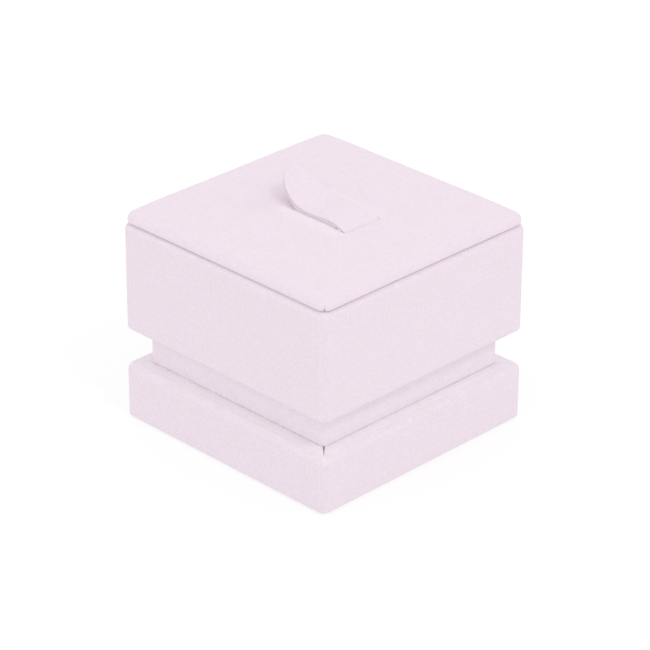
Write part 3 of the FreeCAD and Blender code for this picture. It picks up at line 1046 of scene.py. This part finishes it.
@dataclass
class Pad:
    """The lift-off top: a thin cushion on a card, with a plug under it and a slot for the tongue."""

    corner: float = 2.2 * MM
    top_round: float = 1.9 * MM
    low_round: float = 0.6 * MM
    round_steps: int = 12
    beside_round: float = 0.4 * MM
    edge_height: float = 2.85 * MM
    crown: float = 0.25 * MM
    top_share: float = 0.9
    waist: float = 0.12 * MM
    under_margin: float = 9.0 * MM
    under_mitre: tuple[float, float] = (0.5 * MM, 0.1 * MM)
    ripples: tuple[float, float, float] = (0.03 * MM, 9 * MM, 1.4)
    slot_half: float = 5.05 * MM
    slot_under: float = 4.75 * MM
    slot_front: float = -11.05 * MM
    slot_neck: float = -9.6 * MM
    slot_back: float = -8.4 * MM
    slot_sides: tuple[float, ...] = (0.0, 0.4 * MM, 0.9 * MM, 1.6 * MM)
    slot_ends: tuple[float, ...] = (0.5 * MM, 1.2 * MM)
    slot_depth: float = 0.3 * MM
    lip_dip: float = 0.1 * MM
    lip_reach: float = 0.7 * MM
    lip_front: float = 0.3
    tongue_half: float = 4.85 * MM
    tongue_end: float = 6.0 * MM
    # Painted light beside the tongue, lifting the shade that the tongue throws on the pad: how far out from
    # its edge it is most, how wide it spreads and how much there is.
    painted_light_out: float = 0.6 * MM
    painted_light_width: float = 3.6 * MM
    painted_light_most: float = 0.35
    corner_sag: float = 0.35 * MM
    corner_reach: float = 5.0 * MM
    tuck_height: float = 1.6 * MM
    tuck_depth: float = 0.6 * MM
    tuck_start: float = 20 * MM
    foam: float = 0.5 * MM
    foam_fit: float = 0.9
    foam_height: float = 1.65 * MM
    cell: float = 1.6 * MM
    plug_corner: float = 1.5 * MM
    plug_round: float = 0.6 * MM
    plug_cell: float = 2.4 * MM
    plug_ripples: tuple[float, float, float] = (0.03 * MM, 9 * MM, 6.6)

    def build(self, palette: Palette) -> None:
        """Builds the cover, the foam and the plug's cover and dresses the boards and staples.

        Args:
            palette: the finishes.
        """
        self.cover(palette)
        self.sponge(palette)
        self.plug_cover(palette)
        palette.dress_nodes(Slot.CARD, "pad_board")
        palette.dress_nodes(Slot.BOARD, "plug_board")
        palette.dress_nodes(Slot.SPRING, "clip_tail")
        palette.dress_nodes(Slot.ZINC, "tail_staples")

    def cushion(self, low: Vector, high: Vector, corner: float, top: float, bottom: float) -> SheetForm:
        """Makes the cushion's crowned form with the slot through its top.

        Args:
            low: its lowest corner.
            high: its highest corner at the edge, without the crown.
            corner: radius of its upright corners.
            top: radius of its top edge.
            bottom: radius of its bottom edge.

        Returns:
            The form, not yet thickened.
        """
        form = SheetForm().block(low, high, corner, top, bottom, self.round_steps)
        hold = high.x - corner - self.beside_round
        form.cut_grid(low, high, self.cell, {0: (-hold, hold), 1: (-hold, hold)})
        self.cut_slot(form, high.z)
        return form

    def cut_slot(self, form: SheetForm, level: float) -> None:
        """Cuts the slot through the cushion's top: wide where the tongue goes down, narrower under its bow.

        Args:
            form: the cushion's form.
            level: the height of its flat top.
        """
        def on_top(point: Vector) -> bool:
            """Says whether a point belongs to the cushion's top."""
            return point.z > level - self.slot_depth

        near, far = self.slot_ends
        for half, front, back in (
            (self.slot_half, self.slot_front, self.slot_neck),
            (self.slot_under, self.slot_neck, self.slot_back),
        ):
            for out in self.slot_sides:
                for sign in (-1, 1):
                    form.cut(Vector((sign * (half + out), 0, 0)), Vector((1, 0, 0)), on_top)
            for y in (front - far, front - near, front, back, back + near, back + far):
                form.cut(Vector((0, y, 0)), Vector((0, 1, 0)), on_top)
            inside = [
                f
                for f in form.bm.faces
                if on_top(f.calc_center_median())
                and abs(f.calc_center_median().x) < half
                and front < f.calc_center_median().y < back
            ]
            bmesh.ops.delete(form.bm, geom=inside, context="FACES")

    def swell(self, form: SheetForm, high: Vector, top: float) -> None:
        """Crowns the cushion, draws its sides in and lets its corners and the slot's lips sag.

        Args:
            form: the cushion's form.
            high: its highest corner at the edge.
            top: radius of its top edge.
        """
        half = high.x
        reach = half - top * self.top_share
        for vert in form.bm.verts:
            x, y, z = vert.co
            rise = min(max((z - (high.z - top)) / top, 0.0), 1.0)
            along = (max(1 - (x / half) ** 2, 0.0), max(1 - (y / half) ** 2, 0.0))
            if abs(x) > reach:
                vert.co.x -= math.copysign(self.waist * along[1], x)
            if abs(y) > reach:
                vert.co.y -= math.copysign(self.waist * along[0], y)
            bulge = max(1 - (x / reach) ** 2, 0.0) * max(1 - (y / reach) ** 2, 0.0)
            from_corner = math.hypot(half - abs(x), half - abs(y)) / self.corner_reach
            sag = self.corner_sag * math.exp(-from_corner ** 2) + self.dip(x, y)
            vert.co.z += (self.crown * bulge - sag) * rise

    def dip(self, x: float, y: float) -> float:
        """Returns how far the top is pressed down near the slot.

        Args:
            x: a place across the pad.
            y: a place along it.

        Returns:
            The depth in metres.
        """
        out_x = max(abs(x) - self.slot_half, 0.0)
        out_y = max(self.slot_front - y, y - self.slot_back, 0.0)
        share = self.lip_front if y < self.slot_front else 1.0
        return share * self.lip_dip * math.exp(-((math.hypot(out_x, out_y) / self.lip_reach) ** 2))

    def painted_light(self, point: Vector) -> float:
        """Says how much painted light a point beside the tongue gets, to lift the shade that the tongue
        throws on the pad.

        Args:
            point: the point.

        Returns:
            The amount, most along the tongue's edges and nought away from them.
        """
        out_x = abs(abs(point.x) - self.tongue_half - self.painted_light_out) / self.painted_light_width
        out_y = max(self.slot_back - point.y, point.y - self.tongue_end, 0.0) / self.painted_light_width
        return self.painted_light_most * max(1 - math.hypot(out_x, out_y), 0.0)

    def tuck_corners(self, form: SheetForm, low: Vector) -> None:
        """Folds the cover in at its four corners, where it is gathered under the pad.

        Args:
            form: the cover's form.
            low: its lowest corner.
        """
        for vert in form.bm.verts:
            up = (vert.co.z - low.z) / self.tuck_height
            on_diagonal = abs(abs(vert.co.x) - abs(vert.co.y)) < NEAR
            if on_diagonal and abs(vert.co.x) > self.tuck_start and up < 1:
                inward = Vector((-vert.co.x, -vert.co.y, 0)).normalized()
                vert.co += inward * self.tuck_depth * (1 - up)

    def cover(self, palette: Palette) -> bpy.types.Object:
        """Returns the suede cover, with its margin turned under the card."""
        low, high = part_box("pad_wrap")
        high.z = low.z + self.edge_height
        half = high.x
        form = self.cushion(low, high, self.corner, self.top_round, self.low_round)
        form.open_window(half - self.under_margin, low.z)
        form.mark_edge_wear_and_shade()
        # Painted light beside the tongue.
        form.paint_light(self.painted_light)
        form.cut_mitres(half - self.under_margin, half - self.corner, low.z, *self.under_mitre)
        self.swell(form, high, self.top_round)
        self.tuck_corners(form, low)
        form.ripple(*self.ripples)
        form.thicken(SUEDE)
        piece = form.piece("pad_cover", palette.pressed_suede)
        settle_piece(piece, Body.PAD, Slot.SUEDE, "pad_wrap")
        return piece

    def sponge(self, palette: Palette) -> bpy.types.Object:
        """Returns the thin foam between the card and the cover."""
        low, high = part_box("pad_foam")
        high.z = low.z + self.foam_height
        inner_corner, inner_top = self.corner - SUEDE, self.top_round - SUEDE
        form = self.cushion(low, high, inner_corner, inner_top, 0.0)
        form.open_window(high.x - SLIVER, low.z)
        self.swell(form, high, inner_top)
        form.thicken(self.foam * self.foam_fit)
        piece = form.piece("pad_sponge", palette.finishes[Slot.FOAM])
        settle_piece(piece, Body.PAD, Slot.FOAM, "pad_foam")
        return piece

    def plug_cover(self, palette: Palette) -> bpy.types.Object:
        """Returns the suede over the plug that locates the pad in the mouth."""
        low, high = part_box("plug_cover")
        form = SheetForm().block(low, high, self.plug_corner, 0.0, self.plug_round)
        form.cut_grid(low, high, self.plug_cell, {})
        form.mark_edge_wear_and_shade()
        form.open_window(high.x - SLIVER, high.z)
        form.ripple(*self.plug_ripples)
        form.thicken(SUEDE)
        piece = form.piece("plug_suede", palette.finishes[Slot.LINING])
        settle_piece(piece, Body.PAD, Slot.LINING, "plug_cover")
        return piece


@dataclass
class RingClip:
    """The sprung tongue: a steel strip between two layers of suede, bowed out of the pad and scooped up."""

    half_width: float = 4.85 * MM
    spring: float = 0.25 * MM
    suede: float = 0.3 * MM
    spring_inset: float = 0.8 * MM
    root: Vector = Vector((0.0, -10.6 * MM, 48.813 * MM))
    leave: float = math.radians(34.0)
    dip: float = math.radians(4.5)
    tip: float = math.radians(55.0)
    bow_radius: float = 8.3 * MM
    run_length: float = 3.8 * MM
    scoop_radius: float = 13.3 * MM
    root_radius: float = 0.6 * MM
    root_turn: float = math.radians(50.0)
    tip_length: float = 9.5 * MM
    tip_power: float = 2.5
    lean: float = math.radians(2.4)
    rim_round: float = 0.14 * MM
    rim_gap: float = 0.005 * MM
    # Darkening of the cut edges, partly the cut cloth's tone and partly painted shade: its share at the seam
    # between the layers, the turn of the outline over which it fades towards the free end, and how much of it
    # fades there.
    seam_raw_edge_and_shade: float = 0.6
    raw_edge_and_shade_turn: tuple[float, float] = (0.56, 0.76)
    raw_edge_and_shade_loss: float = 0.65
    rest_level: float = 49.23 * MM
    skirt: float = 0.45 * MM
    skirt_reach: tuple[float, float] = (0.6 * MM, 1.4 * MM)
    columns: int = 40
    rows: int = 96
    column_crowd: float = 1.85
    row_crowd: float = 1.5

    def build(self, palette: Palette) -> None:
        """Builds the strip's three layers.

        Args:
            palette: the finishes.
        """
        edge = self.spring / 2
        layers = (
            ("clip_upper_suede", "clip_top_suede", Slot.SUEDE, edge, edge + self.suede, 0.0),
            ("clip_lower_suede", "clip_under_suede", Slot.SUEDE, -edge - self.suede, -edge, 0.0),
            ("clip_spring_strip", "clip_spring", Slot.SPRING, -edge, edge, self.spring_inset),
        )
        for name, node, slot, low, high, inset in layers:
            finish = palette.pressed_suede if slot is Slot.SUEDE else palette.finishes[slot]
            piece = self.layer(name, finish, low, high, inset)
            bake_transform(piece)
            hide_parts(node)
            LOG.info("built %s from pad to clip: %d faces", name, len(piece.data.polygons))

    def layer(
        self, name: str, material: bpy.types.Material, low: float, high: float, inset: float
    ) -> bpy.types.Object:
        """Makes one layer flat, then bends it to the strip's side view.

        Args:
            name: the piece's name.
            material: its finish.
            low: the layer's lower face, from the strip's middle.
            high: its upper face.
            inset: how far its edge stays inside the strip's outline.

        Returns:
            The piece.
        """
        form = SheetForm()
        bm = form.bm
        bmesh.ops.create_grid(bm, x_segments=self.columns, y_segments=self.rows, size=1.0)
        for vert in bm.verts:
            vert.co = self.spread(vert.co.x, vert.co.y, inset) + Vector((0, 0, low))
        made = bmesh.ops.extrude_face_region(bm, geom=bm.faces[:])["geom"]
        upper = [g for g in made if isinstance(g, bmesh.types.BMVert)]
        bmesh.ops.translate(bm, vec=Vector((0, 0, high - low)), verts=upper)
        bmesh.ops.recalc_face_normals(bm, faces=bm.faces[:])
        for vert in bm.verts:
            if inset == 0:
                self.shape_rim(vert, form.marks[Mark.RAW])
            else:
                vert.co = self.bent(vert.co)
        return form.piece(name, material)

    def spread(self, across: float, along: float, inset: float) -> Vector:
        """Lays a point of an even grid on the flat strip, crowded towards the edge and the free end.

        Args:
            across: the point's place across the grid, from -1 to 1.
            along: its place along the grid, from -1 to 1.
            inset: how far the layer's edge stays inside the strip's outline.

        Returns:
            Its place across and along the strip.
        """
        inside = (1 - abs(across)) ** self.column_crowd
        x = math.copysign((1 - inside) * (self.half_width - inset), across)
        start, end = -self.root_radius * self.root_turn, self.end_of(x, inset)
        return Vector((x, end - (end - start) * ((1 - along) / 2) ** self.row_crowd, 0))

    def shape_rim(self, vert: bmesh.types.BMVert, raw_edge_and_shade: bmesh.types.BMLayerItem) -> None:
        """Bends a point of a suede layer, closes the layers at their rim and lets the lower rim down.

        Args:
            vert: the point, on the flat strip.
            raw_edge_and_shade: the mark for the cut edge, darker as cut cloth and as painted shade.
        """
        inside = self.rim_distance(vert.co.x, vert.co.y)
        side = math.copysign(1.0, vert.co.z)
        outer = abs(vert.co.z) > self.spring
        if outer:
            short = max(self.rim_round - inside, 0.0)
            lift = abs(vert.co.z) - self.rim_round + math.sqrt(self.rim_round ** 2 - short ** 2)
        else:
            lift = max(abs(vert.co.z) * (1 - self.ease(1 - inside / self.spring_inset)), self.rim_gap)
        # The cut edge is darkened, partly as cut cloth and partly as painted shade for its outlines against
        # the pad, and less where it turns to face the free end.
        if inside < NEAR:
            first, last = self.raw_edge_and_shade_turn
            turned = self.ease((self.end_turn(vert.co.x, vert.co.y) - first) / (last - first))
            vert[raw_edge_and_shade] = (1.0 if outer else self.seam_raw_edge_and_shade) * (1 - self.raw_edge_and_shade_loss * turned)
        vert.co = self.bent(Vector((vert.co.x, vert.co.y, side * lift)))
        if outer and side < 0:
            gap = vert.co.z - self.rest_level
            near, far = self.skirt_reach
            reach = self.ease((far - gap) / (far - near)) * self.ease(1 - inside / self.skirt)
            vert.co.z -= max(gap, 0.0) * reach

    def ease(self, share: float) -> float:
        """Returns a share held between nought and one, with soft ends."""
        held = min(max(share, 0.0), 1.0)
        return held * held * (3 - 2 * held)

    def rim_distance(self, across: float, along: float) -> float:
        """Says how far inside the strip's outline a place is.

        Args:
            across: its place across the strip.
            along: its place along the strip.

        Returns:
            The distance to the nearest edge, in metres.
        """
        side = abs(across) / self.half_width
        on = self.oval_share(along)
        if on <= 0:
            return self.half_width * max(1 - side, 0.0)
        power = self.tip_power
        reach = (side ** power + on ** power) ** (1 / power)
        steep = math.hypot(side ** (power - 1) / self.half_width, on ** (power - 1) / self.tip_length)
        return max(1 - reach, 0.0) * reach ** (power - 1) / steep

    def oval_share(self, along: float) -> float:
        """Returns how far along the oval free end a place is: nought before it, one at its very end."""
        if along < self.scoop_start():
            return 0.0
        centre = self.scoop_centre()
        slope = (along - self.scoop_start()) / self.scoop_radius - self.dip
        oval_start = centre.y + self.scoop_radius * math.sin(self.tip) - self.tip_length
        return max((centre.y + self.scoop_radius * math.sin(slope) - oval_start) / self.tip_length, 0.0)

    def end_turn(self, across: float, along: float) -> float:
        """Says how far the outline at a place has turned to face the free end.

        Args:
            across: its place across the strip.
            along: its place along the strip.

        Returns:
            Nought on the straight sides and one at the very end.
        """
        forth = self.oval_share(along) ** (self.tip_power - 1) / self.tip_length
        out = (abs(across) / self.half_width) ** (self.tip_power - 1) / self.half_width
        return forth / max(math.hypot(forth, out), NEAR)

    def scoop_start(self) -> float:
        """Returns the distance along the strip at which it starts to scoop up."""
        return self.bow_radius * (self.leave + self.dip) + self.run_length

    def bow_centre(self) -> Vector:
        """Returns the centre of the bow's arc in side view."""
        return self.root + Vector((0, math.sin(self.leave), -math.cos(self.leave))) * self.bow_radius

    def scoop_centre(self) -> Vector:
        """Returns the centre of the scoop's arc in side view."""
        up = Vector((0, math.sin(self.dip), math.cos(self.dip)))
        along = Vector((0, math.cos(self.dip), -math.sin(self.dip)))
        return self.bow_centre() + up * (self.bow_radius + self.scoop_radius) + along * self.run_length

    def end_of(self, across: float, inset: float) -> float:
        """Gives the oval free end its outline.

        Args:
            across: a place across the strip.
            inset: how far the edge stays inside the strip's outline.

        Returns:
            The distance along the strip at which it ends there.
        """
        centre = self.scoop_centre()
        tip_y = centre.y + self.scoop_radius * math.sin(self.tip) - inset
        share = min(abs(across) / (self.half_width - inset), 1.0)
        y = tip_y - self.tip_length * (1 - (1 - share ** self.tip_power) ** (1 / self.tip_power))
        return self.scoop_start() + self.scoop_radius * (
            math.asin((y - centre.y) / self.scoop_radius) + self.dip
        )

    def bent(self, flat: Vector) -> Vector:
        """Bends a point of the flat strip.

        Args:
            flat: its place across and along the strip, and above the strip's middle.

        Returns:
            Its place in the frame.
        """
        across, along, lift = flat
        if along < 0:
            slope = self.leave - along / self.root_radius
            centre = self.root + Vector((0, math.sin(self.leave), -math.cos(self.leave))) * self.root_radius
            spot = centre + Vector((0, -math.sin(slope), math.cos(slope))) * (self.root_radius + lift)
        elif along < self.bow_radius * (self.leave + self.dip):
            slope = self.leave - along / self.bow_radius
            out = Vector((0, -math.sin(slope), math.cos(slope)))
            spot = self.bow_centre() + out * (self.bow_radius + lift)
        elif along < self.scoop_start():
            way = along - self.bow_radius * (self.leave + self.dip)
            up = Vector((0, math.sin(self.dip), math.cos(self.dip)))
            forth = Vector((0, math.cos(self.dip), -math.sin(self.dip)))
            spot = self.bow_centre() + up * (self.bow_radius + lift) + forth * way
        else:
            slope = (along - self.scoop_start()) / self.scoop_radius - self.dip
            out = Vector((0, math.sin(slope), -math.cos(slope)))
            spot = self.scoop_centre() + out * (self.scoop_radius - lift)
        return Vector((across, spot.y, spot.z + across * math.tan(self.lean)))


@dataclass(frozen=True)
class Lamp:
    """A square soft lamp that faces the box.

    The azimuth is its direction in plan, from the front and turning to the right. The elevation is its height
    as an angle. The energy is in watts.
    """

    name: str
    azimuth: float
    elevation: float
    size: float
    energy: float
    distance: float = 1.6

    def make(self, target: Vector) -> bpy.types.Object:
        """Makes the lamp, unseen by the camera.

        Args:
            target: the point that it faces.

        Returns:
            The lamp, not yet in the scene.
        """
        flat, rise = math.cos(self.elevation), math.sin(self.elevation)
        way = Vector((math.sin(self.azimuth) * flat, -math.cos(self.azimuth) * flat, rise))
        data = bpy.data.lights.new(self.name, "AREA")
        data.energy = self.energy
        data.size = self.size
        made = bpy.data.objects.new(self.name, data)
        made.location = target + way * self.distance
        made.rotation_mode = "QUATERNION"
        made.rotation_quaternion = (-way).to_track_quat("-Z", "Y")
        made.visible_camera = False
        return made


@dataclass
class Studio:
    """The pale floor, the soft light and the camera at the photograph's angle."""

    azimuth: float = math.radians(-45.172)
    elevation: float = math.radians(27.496)
    roll: float = math.radians(0.281)
    distance: float = 653.39 * MM
    target: Vector = Vector((0.154 * MM, -0.155 * MM, 21.985 * MM))
    lens: float = 170.34
    sky_levels: tuple[float, ...] = (1.13, 1.245, 0.935, 0.735, 1.53)
    sky_heights: tuple[float, ...] = (0.0, 0.2, 0.5, 0.8, 1.0)
    lamps: tuple[Lamp, ...] = (
        Lamp("front_lamp", math.radians(-8.0), math.radians(50.0), 0.3, 2.7),
        Lamp("left_lamp", math.radians(-95.0), math.radians(45.0), 0.6, 1.3),
    )
    floor_half: float = 3.0
    floor_drop: float = 0.02 * MM

    def build(self) -> None:
        """Builds the floor, the light and the camera."""
        self.floor()
        self.light()
        self.camera()

    def floor(self) -> None:
        """Lays the floor that the box stands on, a hair under the felt so that the two faces stay apart."""
        bm = bmesh.new()
        bmesh.ops.create_grid(bm, x_segments=8, y_segments=8, size=self.floor_half)
        bmesh.ops.translate(bm, vec=Vector((0, 0, -self.floor_drop)), verts=bm.verts[:])
        mesh = bpy.data.meshes.new("floor")
        bm.to_mesh(mesh)
        bm.free()
        mesh.materials.append(FloorFinish().make())
        made = bpy.data.objects.new("floor", mesh)
        bpy.context.scene.collection.objects.link(made)

    def light(self) -> None:
        """Sets a soft surround and the lamps."""
        scene = bpy.context.scene
        scene.view_settings.view_transform = "Standard"
        scene.world = self.surround()
        for lamp in self.lamps:
            scene.collection.objects.link(lamp.make(self.target))

    def surround(self) -> bpy.types.World:
        """Returns a surround whose light changes with height only, and that the camera sees as white."""
        world = bpy.data.worlds.new("soft_surround")
        world.use_nodes = True
        nodes, links = world.node_tree.nodes, world.node_tree.links
        split = nodes.new("ShaderNodeSeparateXYZ")
        links.new(nodes.new("ShaderNodeTexCoord").outputs["Generated"], split.inputs["Vector"])
        ramp = nodes.new("ShaderNodeValToRGB")
        links.new(split.outputs["Z"], ramp.inputs["Fac"])
        brightest = max(self.sky_levels)
        stops = ramp.color_ramp.elements
        while len(stops) < len(self.sky_levels):
            stops.new(0.5)
        for stop, height, level in zip(stops, self.sky_heights, self.sky_levels):
            stop.position = height
            stop.color = Shade(level, level, level).times(1 / brightest).rgba()
        soft = nodes["Background"]
        soft.inputs["Strength"].default_value = brightest
        links.new(ramp.outputs["Color"], soft.inputs["Color"])
        seen = nodes.new("ShaderNodeBackground")
        seen.inputs["Color"].default_value = (1.0, 1.0, 1.0, 1.0)
        mix = nodes.new("ShaderNodeMixShader")
        links.new(nodes.new("ShaderNodeLightPath").outputs["Is Camera Ray"], mix.inputs["Fac"])
        links.new(soft.outputs["Background"], mix.inputs[1])
        links.new(seen.outputs["Background"], mix.inputs[2])
        links.new(mix.outputs["Shader"], nodes["World Output"].inputs["Surface"])
        return world

    def camera(self) -> None:
        """Sets the camera where the photograph was taken from."""
        a, e, r = self.azimuth, self.elevation, self.roll
        back = Vector((math.sin(a) * math.cos(e), -math.cos(a) * math.cos(e), math.sin(e)))
        level = Vector((math.cos(a), math.sin(a), 0.0))
        rise = back.cross(level)
        right = level * math.cos(r) + rise * math.sin(r)
        up = rise * math.cos(r) - level * math.sin(r)
        data = bpy.data.cameras.new("camera")
        data.lens = self.lens
        data.sensor_width = 36.0
        data.clip_start = 0.01
        made = bpy.data.objects.new("camera", data)
        turn = Matrix((right, up, back)).transposed().to_4x4()
        made.matrix_world = Matrix.Translation(self.target + back * self.distance) @ turn
        bpy.context.scene.collection.objects.link(made)
        bpy.context.scene.camera = made


def main() -> None:
    """Builds the studio and the sub-assemblies in order."""
    logging.basicConfig(level=logging.INFO, format="%(name)s: %(message)s")
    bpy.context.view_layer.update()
    Studio().build()
    palette = Palette()
    for assembly in (Plinth(), Neck(), Box(), Pad(), RingClip()):
        LOG.info("building %s", type(assembly).__name__)
        assembly.build(palette)
    bpy.context.view_layer.update()


if __name__ == "__main__":
    main()
